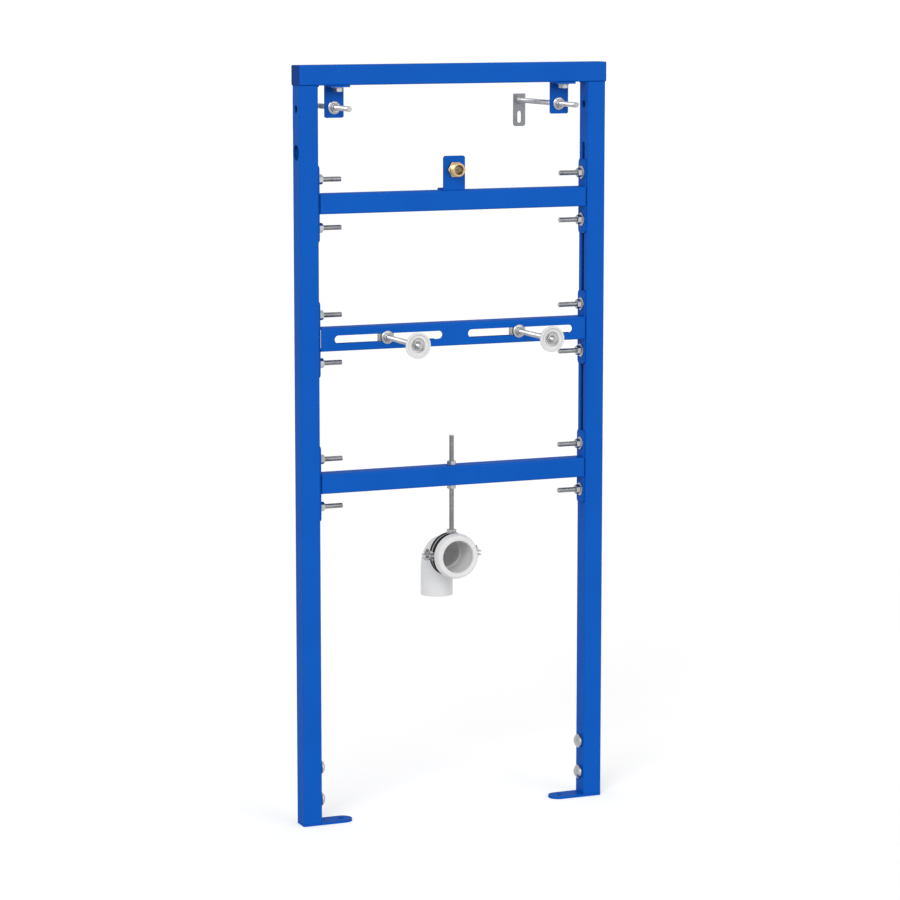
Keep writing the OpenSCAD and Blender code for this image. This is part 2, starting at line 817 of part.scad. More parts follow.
// Screws from below through both ears, each with a nut and a tail on top
module clamp_screws() {
    head_r = 4.75;
    head_h = 1.5;
    bevel = 0.8;
    small_nut_af = 8;
    small_nut_h = 4;
    tail = 3.7;
    low = -ear_top - head_h - bevel;
    color(zinc) from_middle() for (s = [-1, 1]) translate([s * screw_x, 0, drain_z]) union() {
        translate([0, 0, low]) cylinder(r1 = head_r - bevel, r2 = head_r, h = bevel);
        translate([0, 0, low + bevel]) cylinder(r = head_r, h = head_h);
        translate([0, 0, -ear_top - sink])
            cylinder(d = screw_d, h = sink + 2 * ear_top + small_nut_h + tail);
        translate([0, 0, ear_top]) rotate(30)
            linear_extrude(small_nut_h) hex_outline(small_nut_af);
    }
}

// Quarter of a pipe run round the bend, from the socket down to the spigot
module quarter_bend(r) {
    translate([0, bend_y, drain_z - bend_r]) rotate([0, -90, 0])
        rotate_extrude(angle = 90) translate([bend_r, 0]) circle(r);
}

// Solid run of the drain: straight neck, bend and spigot of one radius
module drain_run(r, over) {
    translate([0, bend_y, drain_z]) to_front() cylinder(r = r, h = neck_len + over);
    quarter_bend(r);
    translate([0, spigot_y, spigot_low - over]) cylinder(r = r, h = spigot_len + over);
}

// Plastic bend: crowned collar and socket at the front, quarter bend and spigot below
module drain_bend() {
    spigot_r = spigot_d / 2;
    collar_r = collar_d / 2;
    edge = 0.6;
    rim_flat = 3;
    crown = collar_w - rim_flat;
    crown_shares = [
        [0.87, 0], [0.915, 0.05], [0.95, 0.2], [0.975, 0.45], [0.993, 0.75], [1, 1]
    ];
    color(white_plastic) from_middle() difference() {
        union() {
            drain_run(spigot_r, 0);
            translate([0, neck_y, drain_z]) rotate([-90, 0, 0])
                cylinder(r1 = socket_r, r2 = spigot_r, h = neck_len);
            translate([0, drain_mouth, drain_z]) rotate([-90, 0, 0]) {
                cylinder(r = socket_r, h = socket_depth);
                rotate_extrude() polygon(concat(
                    [[0, 0]], [for (p = crown_shares) [p[0] * collar_r, p[1] * crown]],
                    [[collar_r, collar_w - edge], [collar_r - edge, collar_w], [0, collar_w]]
                ));
            }
        }
        drain_run(spigot_r - pipe_wall, cut);
        translate([0, drain_mouth - cut, drain_z]) rotate([-90, 0, 0])
            cylinder(d = socket_bore, h = socket_depth + cut);
        translate([0, drain_mouth - sink, drain_z]) rotate([-90, 0, 0])
            cylinder(r1 = socket_bore / 2 + edge + sink, r2 = socket_bore / 2, h = edge + sink);
    }
}

on_side(-1) post();  // left_post
on_side(1) post();  // right_post
top_rail();
on_side(-1) end_cap();  // left_end_cap
on_side(1) end_cap();  // right_end_cap
on_side(-1) foot();  // left_foot
on_side(1) foot();  // right_foot
foot_bolts();
tube_crossbar(upper_bar_z);  // upper_crossbar
slotted_crossbar();
lower_crossbar();
on_both_sides() clamp_plate(upper_bar_z);  // upper_clamp_plates
on_both_sides() clamp_plate(slotted_bar_z);  // middle_clamp_plates
on_both_sides() clamp_plate(lower_bar_z);  // lower_clamp_plates
clamp_studs(upper_bar_z);  // upper_studs
clamp_studs(slotted_bar_z);  // middle_studs
clamp_studs(lower_bar_z);  // lower_studs
clamp_stud_nuts(upper_bar_z);  // upper_stud_nuts
clamp_stud_nuts(slotted_bar_z);  // middle_stud_nuts
clamp_stud_nuts(lower_bar_z);  // lower_stud_nuts
water_bracket();
water_inlet();
water_inlet_nut();
on_side(-1) top_bracket();  // left_top_bracket
on_side(1) top_bracket();  // right_top_bracket
bracket_bolts();
on_side(-1) wall_rod();  // left_wall_rod
on_side(1) wall_rod();  // right_wall_rod
wall_rod_nuts();
on_side(-1) wall_plate();  // left_wall_plate
on_side(1) wall_plate();  // right_wall_plate
fixing_stud(-1);  // left_fixing_stud
fixing_stud(1);  // right_fixing_stud
fixing_flange_nuts();
channel_nut_blocks();
fixing_cup(-1);  // left_fixing_cup
fixing_cup(1);  // right_fixing_cup
cup_nuts();
drain_rod();
drain_rod_nuts();
clamp_upper_half();
clamp_lower_half();
clamp_lining();
clamp_screws();
drain_bend();
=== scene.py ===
"""Looks of a wall-hung urinal installation frame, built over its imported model.

Sizes are in metres, in the model's own frame: the origin is the middle of the left
foot's sole, X runs to the right post, Y to the wall and Z up.
"""

import logging
import math
from dataclasses import dataclass, field
from enum import Enum
from typing import Dict, Iterable, List, Optional, Sequence, Tuple

import bpy
from mathutils import Euler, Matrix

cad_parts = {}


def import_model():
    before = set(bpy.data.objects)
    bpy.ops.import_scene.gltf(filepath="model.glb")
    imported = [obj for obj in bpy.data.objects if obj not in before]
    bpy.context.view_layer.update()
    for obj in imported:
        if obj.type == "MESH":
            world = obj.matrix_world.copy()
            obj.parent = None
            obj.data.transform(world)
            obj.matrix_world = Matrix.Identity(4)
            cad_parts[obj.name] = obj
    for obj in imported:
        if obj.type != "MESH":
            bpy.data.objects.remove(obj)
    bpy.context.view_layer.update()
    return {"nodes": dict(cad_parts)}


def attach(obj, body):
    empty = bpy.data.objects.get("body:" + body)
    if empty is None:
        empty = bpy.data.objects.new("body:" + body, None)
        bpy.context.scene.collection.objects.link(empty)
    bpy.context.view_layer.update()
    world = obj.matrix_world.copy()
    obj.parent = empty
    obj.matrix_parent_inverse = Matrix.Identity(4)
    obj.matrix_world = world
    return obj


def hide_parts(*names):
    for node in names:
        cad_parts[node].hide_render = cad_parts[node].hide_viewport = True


LOG = logging.getLogger("urinal_frame")

Point = Tuple[float, float, float]
Colour = Tuple[float, float, float]
MM = 0.001
MIDDLE = 0.2085


class Facing(Enum):
    """Which way a piece that is built upright points once it is placed."""

    UP = (0.0, 0.0, 0.0)
    DOWN = (180.0, 0.0, 0.0)
    FRONT = (90.0, 0.0, 0.0)
    WALL = (-90.0, 0.0, 0.0)
    LEFT = (0.0, -90.0, 0.0)
    RIGHT = (0.0, 90.0, 0.0)

    def euler(self) -> Euler:
        """Returns the turn as an Euler rotation."""
        return Euler([math.radians(a) for a in self.value], "XYZ")


class Side(Enum):
    """The two sides of the frame, as the sign of X from its middle."""

    LEFT = -1
    RIGHT = 1

    def x(self, distance: float) -> float:
        """Returns X at a distance from the frame's middle on this side."""
        return MIDDLE + self.value * distance

    def inward(self) -> Facing:
        """Returns the facing that points to the frame's middle."""
        return Facing.RIGHT if self is Side.LEFT else Facing.LEFT


# Bench work


def deselect() -> None:
    """Deselects every object."""
    for obj in bpy.context.selected_objects:
        obj.select_set(False)


def activate(obj: bpy.types.Object) -> None:
    """Makes one object the only selected and the active one.

    Args:
        obj: The object.
    """
    deselect()
    obj.select_set(True)
    bpy.context.view_layer.objects.active = obj


def settle(obj: bpy.types.Object, name: str) -> bpy.types.Object:
    """Puts an object's place into its mesh and names it.

    Args:
        obj: The object.
        name: Its new name, also for its mesh.

    Returns:
        The same object, at the origin.
    """
    activate(obj)
    bpy.ops.object.transform_apply(location=True, rotation=True, scale=True)
    obj.name = name
    obj.data.name = name
    return obj


def edit_all(obj: bpy.types.Object) -> None:
    """Opens an object in edit mode with everything selected.

    Args:
        obj: The object.
    """
    activate(obj)
    bpy.ops.object.mode_set(mode="EDIT")
    bpy.ops.mesh.select_all(action="SELECT")


def leave_edit() -> None:
    """Goes back to object mode."""
    bpy.ops.object.mode_set(mode="OBJECT")


def clean_shell(obj: bpy.types.Object, gap: float = 1e-6) -> None:
    """Merges doubles and turns all faces outwards.

    Args:
        obj: The object.
        gap: The greatest distance between vertices that are merged.
    """
    edit_all(obj)
    bpy.ops.mesh.remove_doubles(threshold=gap)
    bpy.ops.mesh.normals_make_consistent(inside=False)
    leave_edit()


def smooth(obj: bpy.types.Object, degrees: float = 32.0) -> None:
    """Shades an object smooth, with edges kept above an angle.

    Args:
        obj: The object.
        degrees: The angle.
    """
    activate(obj)
    bpy.ops.object.shade_smooth_by_angle(angle=math.radians(degrees))


def run_modifier(obj: bpy.types.Object, kind: str, **settings: object) -> None:
    """Adds a modifier, sets it and applies it.

    Args:
        obj: The object.
        kind: The modifier's type.
        **settings: Its properties.
    """
    activate(obj)
    step = obj.modifiers.new(kind.lower(), kind)
    for key, value in settings.items():
        setattr(step, key, value)
    bpy.ops.object.modifier_apply(modifier=step.name)


def combine(obj: bpy.types.Object, tool: bpy.types.Object, how: str) -> None:
    """Cuts, keeps or joins an object with a tool shape, which is then deleted.

    Args:
        obj: The object that is changed.
        tool: The tool shape.
        how: UNION, DIFFERENCE or INTERSECT.
    """
    run_modifier(obj, "BOOLEAN", operation=how, object=tool, solver="EXACT")
    bpy.data.objects.remove(tool)


def draw_profile(points: Sequence[Tuple[float, float]]) -> bpy.types.Object:
    """Draws a chain of points by extruding one vertex, X outwards and Z up.

    Args:
        points: Radius and height of each point.

    Returns:
        The object, left in edit mode with everything selected.
    """
    deselect()
    bpy.ops.mesh.primitive_plane_add(size=MM, location=(0, 0, 0))
    obj = bpy.context.active_object
    edit_all(obj)
    bpy.ops.mesh.merge(type="CENTER")
    last = points[0]
    bpy.ops.transform.translate(value=(last[0], 0, last[1]))
    for point in points[1:]:
        move = (point[0] - last[0], 0, point[1] - last[1])
        bpy.ops.mesh.extrude_vertices_move(TRANSFORM_OT_translate={"value": move})
        last = point
    bpy.ops.mesh.select_all(action="SELECT")
    return obj


def lathe(points: Sequence[Tuple[float, float]], steps: int = 48) -> bpy.types.Object:
    """Spins a closed profile round Z into a closed ring or disc.

    Args:
        points: Radius and height of each point; the last is joined to the first.
        steps: Number of steps of the spin.

    Returns:
        The object.
    """
    obj = draw_profile(list(points) + [points[0]])
    bpy.ops.mesh.spin(steps=steps, angle=math.tau, center=(0, 0, 0), axis=(0, 0, 1))
    leave_edit()
    clean_shell(obj)
    return obj


def join(parts: Sequence[bpy.types.Object]) -> bpy.types.Object:
    """Joins objects into the first one.

    Args:
        parts: The objects.

    Returns:
        The joined object.
    """
    activate(parts[0])
    for part in parts[1:]:
        part.select_set(True)
    if len(parts) > 1:
        bpy.ops.object.join()
    return parts[0]


def copy_to(
    source: bpy.types.Object, name: str, spots: Iterable[Tuple[Point, Facing]]
) -> bpy.types.Object:
    """Copies an upright piece to several places and joins the copies.

    Args:
        source: The piece, built at the origin along Z.
        name: Name of the result.
        spots: Place and facing of each copy.

    Returns:
        The joined copies as one object at the origin.
    """
    copies: List[bpy.types.Object] = []
    for place, facing in spots:
        twin = source.copy()
        twin.data = source.data.copy()
        bpy.context.scene.collection.objects.link(twin)
        twin.location = place
        twin.rotation_euler = facing.euler()
        copies.append(settle(twin, name))
    return settle(join(copies), name)


def discard(*sources: bpy.types.Object) -> None:
    """Deletes pieces that were only models for copies.

    Args:
        *sources: The pieces.
    """
    for source in sources:
        bpy.data.objects.remove(source)


# Finishes


class NodeSheet:
    """A material's nodes, laid out by name."""

    def __init__(self, name: str) -> None:
        """Makes an empty material with a Principled shader.

        Args:
            name: The material's name.
        """
        self.material = bpy.data.materials.new(name)
        self.material.use_nodes = True
        self.tree = self.material.node_tree
        self.shader = self.tree.nodes["Principled BSDF"]
        self.coords = self.add("ShaderNodeTexCoord")

    def add(self, kind: str, **values: object) -> bpy.types.Node:
        """Adds a node.

        Args:
            kind: The node's type.
            **values: Properties, or inputs by their name with _ for spaces.

        Returns:
            The node.
        """
        node = self.tree.nodes.new(kind)
        for key, value in values.items():
            socket = node.inputs.get(key.replace("_", " "))
            if socket is not None:
                socket.default_value = value
            else:
                setattr(node, key, value)
        return node

    def link(self, source: bpy.types.NodeSocket, target: bpy.types.NodeSocket) -> None:
        """Links two sockets."""
        self.tree.links.new(source, target)

    def noise(self, scale: float, detail: float, stretch: Point = (1, 1, 1)) -> bpy.types.NodeSocket:
        """Adds a noise pattern on Object coordinates.

        Args:
            scale: Its scale, per metre.
            detail: Its detail.
            stretch: How much finer it is along each axis.

        Returns:
            Its factor socket.
        """
        mapping = self.add("ShaderNodeMapping")
        mapping.inputs["Scale"].default_value = stretch
        self.link(self.coords.outputs["Object"], mapping.inputs["Vector"])
        node = self.add("ShaderNodeTexNoise", Scale=scale, Detail=detail)
        self.link(mapping.outputs["Vector"], node.inputs["Vector"])
        return node.outputs["Fac"]

    def painted_edge_shade_mask(self, radius: float) -> bpy.types.NodeSocket:
        """Finds the edges that get painted shade, where a rounded normal leaves the true one.

        Args:
            radius: Width of the painted edge shade on each face.

        Returns:
            A factor, 1 on open faces and 0 on the edges.
        """
        rounded = self.add("ShaderNodeBevel", samples=6, Radius=radius)
        truth = self.add("ShaderNodeNewGeometry")
        match = self.add("ShaderNodeVectorMath", operation="DOT_PRODUCT")
        self.link(rounded.outputs["Normal"], match.inputs[0])
        self.link(truth.outputs["True Normal"], match.inputs[1])
        span = self.add("ShaderNodeMapRange", From_Min=0.86, From_Max=0.99)
        self.link(match.outputs["Value"], span.inputs["Value"])
        return span.outputs["Result"]

    def tint(self, factor: bpy.types.NodeSocket, dark: Colour, light: Colour,
             edge_radius: float, edge_shade: float) -> None:
        """Drives the base colour between two colours, with painted shade darkening the edges.

        Args:
            factor: The pattern.
            dark: Colour where the pattern is low.
            light: Colour where it is high.
            edge_radius: Width of the painted edge shade, or 0 for none.
            edge_shade: How much of the colour the painted shade leaves on an edge.
        """
        ramp = self.add("ShaderNodeValToRGB")
        ramp.color_ramp.elements[0].position = 0.3
        ramp.color_ramp.elements[0].color = (*dark, 1)
        ramp.color_ramp.elements[1].position = 0.7
        ramp.color_ramp.elements[1].color = (*light, 1)
        self.link(factor, ramp.inputs["Fac"])
        colour = ramp.outputs["Color"]
        # Painted shade: each edge is mixed towards a darker copy of the dark colour.
        if edge_radius > 0:
            painted_shade_mix = self.add("ShaderNodeMix", data_type="RGBA")
            painted_shade_mix.inputs[6].default_value = (*(edge_shade * c for c in dark), 1)
            self.link(self.painted_edge_shade_mask(edge_radius), painted_shade_mix.inputs[0])
            self.link(colour, painted_shade_mix.inputs[7])
            colour = painted_shade_mix.outputs[2]
        self.link(colour, self.shader.inputs["Base Color"])

    def spread(self, factor: bpy.types.NodeSocket, low: float, high: float) -> None:
        """Drives the roughness between two values.

        Args:
            factor: The pattern.
            low: The lowest roughness.
            high: The highest roughness.
        """
        span = self.add("ShaderNodeMapRange", From_Min=0.3, From_Max=0.7, To_Min=low, To_Max=high)
        self.link(factor, span.inputs["Value"])
        self.link(span.outputs["Result"], self.shader.inputs["Roughness"])

    def relief(self, factors: Sequence[Tuple[bpy.types.NodeSocket, float]]) -> None:
        """Stacks bumps and drives the normal.

        Args:
            factors: Each pattern with its height in metres.
        """
        previous: Optional[bpy.types.Node] = None
        for factor, height in factors:
            bump = self.add("ShaderNodeBump", Strength=1.0, Distance=height)
            self.link(factor, bump.inputs["Height"])
            if previous is not None:
                self.link(previous.outputs["Normal"], bump.inputs["Normal"])
            previous = bump
        if previous is not None:
            self.link(previous.outputs["Normal"], self.shader.inputs["Normal"])


@dataclass(frozen=True)
class Finish:
    """One surface finish: colours, gloss and relief, as a procedural material."""

    name: str
    slot: str
    dark: Colour
    light: Colour
    metallic: float
    specular: float
    rough_low: float
    rough_high: float
    cloud_scale: float
    grain_scale: float
    grain_height: float
    grain_stretch: Point = (1, 1, 1)
    wave_scale: float = 0.0
    wave_height: float = 0.0
    subsurface: float = 0.0
    coat: float = 0.0
    # edge_radius and edge_shade set the painted shade that darkens each edge of the finish.
    edge_radius: float = 0.0
    edge_shade: float = 1.0

    def make(self) -> bpy.types.Material:
        """Builds the material.

        Returns:
            The material.
        """
        sheet = NodeSheet(self.name)
        inputs = sheet.shader.inputs
        inputs["Metallic"].default_value = self.metallic
        inputs["Specular IOR Level"].default_value = self.specular
        inputs["Subsurface Weight"].default_value = self.subsurface
        inputs["Subsurface Radius"].default_value = (0.008, 0.008, 0.0075)
        inputs["Coat Weight"].default_value = self.coat
        inputs["Coat Roughness"].default_value = 0.3
        clouds = sheet.noise(self.cloud_scale, 3.0)
        grain = sheet.noise(self.grain_scale, 2.0, self.grain_stretch)
        sheet.tint(clouds, self.dark, self.light, self.edge_radius, self.edge_shade)
        sheet.spread(grain, self.rough_low, self.rough_high)
        bumps = [(grain, self.grain_height)]
        if self.wave_height > 0:
            bumps.append((sheet.noise(self.wave_scale, 1.0), self.wave_height))
        sheet.relief(bumps)
        return sheet.material


# The edge_radius and edge_shade values below paint shade onto the edges of each finish.
FINISHES: Tuple[Finish, ...] = (
    Finish(
        name="blue_powder_coat", slot="frame_blue",
        dark=(0.0018, 0.092, 0.465), light=(0.0026, 0.103, 0.505),
        metallic=0.0, specular=0.0, rough_low=0.38, rough_high=0.5,
        cloud_scale=9.0, grain_scale=900.0, grain_height=0.03 * MM,
        wave_scale=210.0, wave_height=0.05 * MM, coat=0.14,
        edge_radius=1.1 * MM, edge_shade=0.5,
    ),
    Finish(
        name="blue_cap_plastic", slot="cap_blue",
        dark=(0.001, 0.040, 0.235), light=(0.0016, 0.047, 0.27),
        metallic=0.0, specular=0.0, rough_low=0.42, rough_high=0.55,
        cloud_scale=30.0, grain_scale=1400.0, grain_height=0.02 * MM, coat=0.12,
    ),
    Finish(
        name="bright_zinc", slot="zinc_steel",
        dark=(0.335, 0.338, 0.345), light=(0.48, 0.48, 0.485),
        metallic=1.0, specular=0.5, rough_low=0.24, rough_high=0.4,
        cloud_scale=55.0, grain_scale=900.0, grain_height=0.01 * MM,
        edge_radius=0.35 * MM, edge_shade=0.62,
    ),
    Finish(
        name="matt_zinc_plate", slot="zinc_steel",
        dark=(0.285, 0.288, 0.292), light=(0.345, 0.347, 0.351),
        metallic=0.85, specular=0.4, rough_low=0.42, rough_high=0.6,
        cloud_scale=90.0, grain_scale=1100.0, grain_height=0.02 * MM,
        edge_radius=0.6 * MM, edge_shade=0.6,
    ),
    Finish(
        name="turned_brass", slot="brass",
        dark=(0.50, 0.36, 0.185), light=(0.64, 0.485, 0.28),
        metallic=1.0, specular=0.5, rough_low=0.22, rough_high=0.38,
        cloud_scale=60.0, grain_scale=60.0, grain_height=0.01 * MM, grain_stretch=(1, 30, 1),
        edge_radius=0.4 * MM, edge_shade=0.6,
    ),
    Finish(
        name="white_moulding", slot="white_plastic",
        dark=(0.735, 0.735, 0.73), light=(0.79, 0.79, 0.785),
        metallic=0.0, specular=0.35, rough_low=0.3, rough_high=0.42,
        cloud_scale=25.0, grain_scale=700.0, grain_height=0.01 * MM,
        wave_scale=60.0, wave_height=0.03 * MM, subsurface=0.22,
        edge_radius=0.5 * MM, edge_shade=0.75,
    ),
    Finish(
        name="grey_lip_seal", slot="white_plastic",
        dark=(0.56, 0.56, 0.56), light=(0.62, 0.62, 0.62),
        metallic=0.0, specular=0.3, rough_low=0.5, rough_high=0.62,
        cloud_scale=60.0, grain_scale=900.0, grain_height=0.02 * MM,
    ),
    Finish(
        name="black_lining_rubber", slot="black_rubber",
        dark=(0.008, 0.008, 0.009), light=(0.016, 0.016, 0.017),
        metallic=0.0, specular=0.2, rough_low=0.6, rough_high=0.78,
        cloud_scale=120.0, grain_scale=800.0, grain_height=0.04 * MM,
    ),
)


class Paintbox:
    """Makes each finish once and puts it on pieces and on the model's nodes."""

    def __init__(self) -> None:
        """Builds all materials."""
        self.by_name: Dict[str, Finish] = {f.name: f for f in FINISHES}
        self.made: Dict[str, bpy.types.Material] = {f.name: f.make() for f in FINISHES}

    def paint(self, obj: bpy.types.Object, finish: str) -> bpy.types.Object:
        """Gives an object one finish all over.

        Args:
            obj: The object.
            finish: The finish's name.

        Returns:
            The same object.
        """
        obj.data.materials.clear()
        obj.data.materials.append(self.made[finish])
        for face in obj.data.polygons:
            face.material_index = 0
        return obj

    def mount(self, obj: bpy.types.Object, finish: str, *nodes: str) -> bpy.types.Object:
        """Paints a new piece, lets it ride and lets it stand for nodes.

        Args:
            obj: The piece, finished and at the origin.
            finish: The finish's name.
            *nodes: Nodes of the model that it stands for.

        Returns:
            The same object.
        """
        self.paint(obj, finish)
        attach(obj, "root")
        if nodes:
            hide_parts(*nodes)
        return obj


# Hardware


@dataclass
class ThreadedBar:
    """A rod with a helical thread over its whole length and chamfered ends."""

    length: float
    radius: float = 4 * MM
    pitch: float = 1.25 * MM
    depth: float = 0.62 * MM
    chamfer: float = 0.9 * MM
    steps: int = 16

    def build(self) -> bpy.types.Object:
        """Builds the bar upright from the origin.

        Returns:
            The bar.
        """
        root = self.radius - self.depth
        low = -2 * self.pitch
        turn = [(root, 0.0), (root, 0.12), (self.radius, 0.42), (self.radius, 0.58),
                (root, 0.88), (root, 1.0)]
        obj = draw_profile([(r, low + h * self.pitch) for r, h in turn])
        leave_edit()
        run_modifier(
            obj, "SCREW", axis="Z", angle=math.tau, screw_offset=self.pitch,
            iterations=int(self.length / self.pitch) + 4, steps=self.steps,
            render_steps=self.steps, use_merge_vertices=True, merge_threshold=1e-6,
        )
        edit_all(obj)
        bpy.ops.mesh.remove_doubles(threshold=1e-6)
        for height, above in ((0.0, False), (self.length, True)):
            bpy.ops.mesh.select_all(action="SELECT")
            bpy.ops.mesh.bisect(
                plane_co=(0, 0, height), plane_no=(0, 0, 1), use_fill=True,
                clear_outer=above, clear_inner=not above, threshold=1e-7,
            )
        bpy.ops.mesh.select_all(action="SELECT")
        bpy.ops.mesh.normals_make_consistent(inside=False)
        leave_edit()
        rim = self.radius + 0.2 * MM
        end = rim - self.chamfer
        envelope = lathe([
            (0.0, -0.01 * MM), (end, -0.01 * MM), (rim, self.chamfer),
            (rim, self.length - self.chamfer), (end, self.length + 0.01 * MM),
            (0.0, self.length + 0.01 * MM),
        ], 32)
        combine(obj, envelope, "INTERSECT")
        smooth(obj, 25)
        return obj


@dataclass
class HexNut:
    """A hexagon nut with chamfered corners, a countersunk bore and maybe a flange."""

    across: float = 13 * MM
    height: float = 6.5 * MM
    bore: float = 4.1 * MM
    flange: float = 0.0
    flange_t: float = 1.8 * MM

    def build(self) -> bpy.types.Object:
        """Builds the nut upright, its seat on Z = 0.

        Returns:
            The nut.
        """
        seat = self.flange_t if self.flange > 0 else 0.0
        corner = self.across / math.sqrt(3)
        deselect()
        bpy.ops.mesh.primitive_cylinder_add(
            vertices=6, radius=corner, depth=self.height,
            location=(0, 0, seat + self.height / 2), rotation=(0, 0, math.radians(30)),
        )
        obj = settle(bpy.context.active_object, "nut")
        top = seat + self.height
        flat = self.across / 2 * 0.95
        out = corner + 0.2 * MM
        drop = (out - flat) * math.tan(math.radians(30))
        sink = 0.6 * MM
        low = seat + (0.0 if self.flange > 0 else drop)
        profile = [
            (self.bore, seat + sink), (self.bore + sink, seat - 0.05 * MM),
            (flat if self.flange <= 0 else out, seat - 0.05 * MM), (out, low),
            (out, top - drop), (flat, top + 0.01 * MM), (self.bore + sink, top + 0.01 * MM),
            (self.bore, top - sink),
        ]
        combine(obj, lathe(profile, 48), "INTERSECT")
        parts = [obj]
        if self.flange > 0:
            rim = self.flange / 2
            parts.append(lathe([
                (self.bore, 0.0), (rim - 0.5 * MM, 0.0), (rim, 0.25 * MM), (rim, 0.9 * MM),
                (rim - 0.3 * MM, 1.15 * MM), (corner * 0.98, self.flange_t + 0.35 * MM),
                (self.bore, self.flange_t + 0.35 * MM),
            ], 48))
        obj = join(parts)
        smooth(obj, 28)
        return obj


@dataclass
class CrossbarClamps:
    """Hammer-head studs and flange nuts at both ends of the three crossbars."""

    heights: Dict[str, float] = field(
        default_factory=lambda: {"upper": 0.945, "middle": 0.7425, "lower": 0.525}
    )
    pitch: float = 72 * MM
    post_wall: float = 222 * MM
    plate_face: float = 217.5 * MM
    reach: float = 38 * MM
    head: Tuple[float, float, float] = (12 * MM, 15 * MM, 4 * MM)

    def stud(self) -> bpy.types.Object:
        """Builds one stud, its shank upright from the origin and its head below.

        Returns:
            The stud.
        """
        bar = ThreadedBar(self.post_wall - self.plate_face + self.reach).build()
        deselect()
        bpy.ops.mesh.primitive_cube_add(size=1, location=(0, 0, -self.head[2] / 2), scale=self.head)
        head = settle(bpy.context.active_object, "head")
        run_modifier(head, "BEVEL", width=0.8 * MM, segments=2)
        smooth(head)
        return join([bar, head])

    def spots(self, height: float, distance: float) -> List[Tuple[Point, Facing]]:
        """Lists the four places of a crossbar, at a distance from the middle.

        Args:
            height: Height of the crossbar's middle.
            distance: Distance of each place from the frame's middle.

        Returns:
            Place and facing of each.
        """
        return [
            ((side.x(distance), 0.0, height + s * self.pitch / 2), side.inward())
            for side in Side for s in (-1, 1)
        ]

    def build(self, box: Paintbox) -> int:
        """Builds and mounts studs and nuts.

        Args:
            box: The finishes.

        Returns:
            The number of pieces.
        """
        stud = self.stud()
        nut = HexNut(flange=20 * MM).build()
        for name, height in self.heights.items():
            shanks = copy_to(stud, f"{name}_clamp_studs", self.spots(height, self.post_wall))
            box.mount(shanks, "bright_zinc", f"{name}_studs")
            nuts = copy_to(nut, f"{name}_clamp_nuts", self.spots(height, self.plate_face))
            box.mount(nuts, "bright_zinc", f"{name}_stud_nuts")
        discard(stud, nut)
        return 2 * len(self.heights)


@dataclass
class WallTies:
    """Threaded wall rods with their nuts and weld rings, and the bracket bolts."""

    x: float = 184.5 * MM
    z: float = 1086.4 * MM
    rod_rear: float = 159 * MM
    rod_front: float = 50 * MM
    plate_rear: float = 15 * MM
    plate_t: float = 3 * MM
    rail_low: float = 1120 * MM
    bolt_y: float = -2 * MM

    def rods(self, box: Paintbox) -> None:
        """Builds both rods, each with the weld ring at its wall plate.

        Args:
            box: The finishes.
        """
        bar = ThreadedBar(self.rod_rear + self.rod_front).build()
        ring = lathe([(3.2 * MM, 0), (6.2 * MM, 0), (5.9 * MM, 0.9 * MM), (4.6 * MM, 2.0 * MM),
                      (3.2 * MM, 2.6 * MM)], 32)
        smooth(ring, 60)
        for side in Side:
            name = side.name.lower()
            spot = [((side.x(self.x), self.rod_rear, self.z), Facing.FRONT)]
            box.mount(copy_to(bar, f"{name}_threaded_wall_rod", spot), "bright_zinc",
                      f"{name}_wall_rod")
            box.mount(copy_to(ring, f"{name}_rod_weld", spot), "matt_zinc_plate")
        discard(bar, ring)

    def nuts(self, box: Paintbox) -> None:
        """Builds the flange nuts on both faces of each bracket.

        Args:
            box: The finishes.
        """
        nut = HexNut(flange=20 * MM).build()
        spots = []
        for side in Side:
            x = side.x(self.x)
            spots.append(((x, self.plate_rear - self.plate_t, self.z), Facing.FRONT))
            spots.append(((x, self.plate_rear, self.z), Facing.WALL))
        box.mount(copy_to(nut, "wall_rod_flange_nuts", spots), "bright_zinc", "wall_rod_nuts")
        discard(nut)

    def bolts(self, box: Paintbox) -> None:
        """Builds the bolts that hold the brackets up to the rail.

        Args:
            box: The finishes.
        """
        head = HexNut(height=5.5 * MM, bore=0.0).build()
        washer = lathe([(0, 0), (8.3 * MM, 0), (8.5 * MM, 0.3 * MM), (8.5 * MM, 1.1 * MM),
                        (8.3 * MM, 1.4 * MM), (0, 1.4 * MM)], 40)
        shank = ThreadedBar(11 * MM).build()
        low = self.rail_low - self.plate_t
        piece: List[bpy.types.Object] = []
        for side in Side:
            x = side.x(self.x)
            piece.append(copy_to(washer, "washer", [((x, self.bolt_y, low), Facing.DOWN)]))
            piece.append(copy_to(head, "head", [((x, self.bolt_y, low - 1.35 * MM), Facing.DOWN)]))
            piece.append(copy_to(shank, "shank", [((x, self.bolt_y, low), Facing.UP)]))
        box.mount(settle(join(piece), "bracket_hex_bolts"), "bright_zinc", "bracket_bolts")
        discard(head, washer, shank)

    def build(self, box: Paintbox) -> int:
        """Builds and mounts all wall tie pieces.

        Args:
            box: The finishes.

        Returns:
            The number of pieces.
        """
        self.rods(box)
        self.nuts(box)
        self.bolts(box)
        return 6


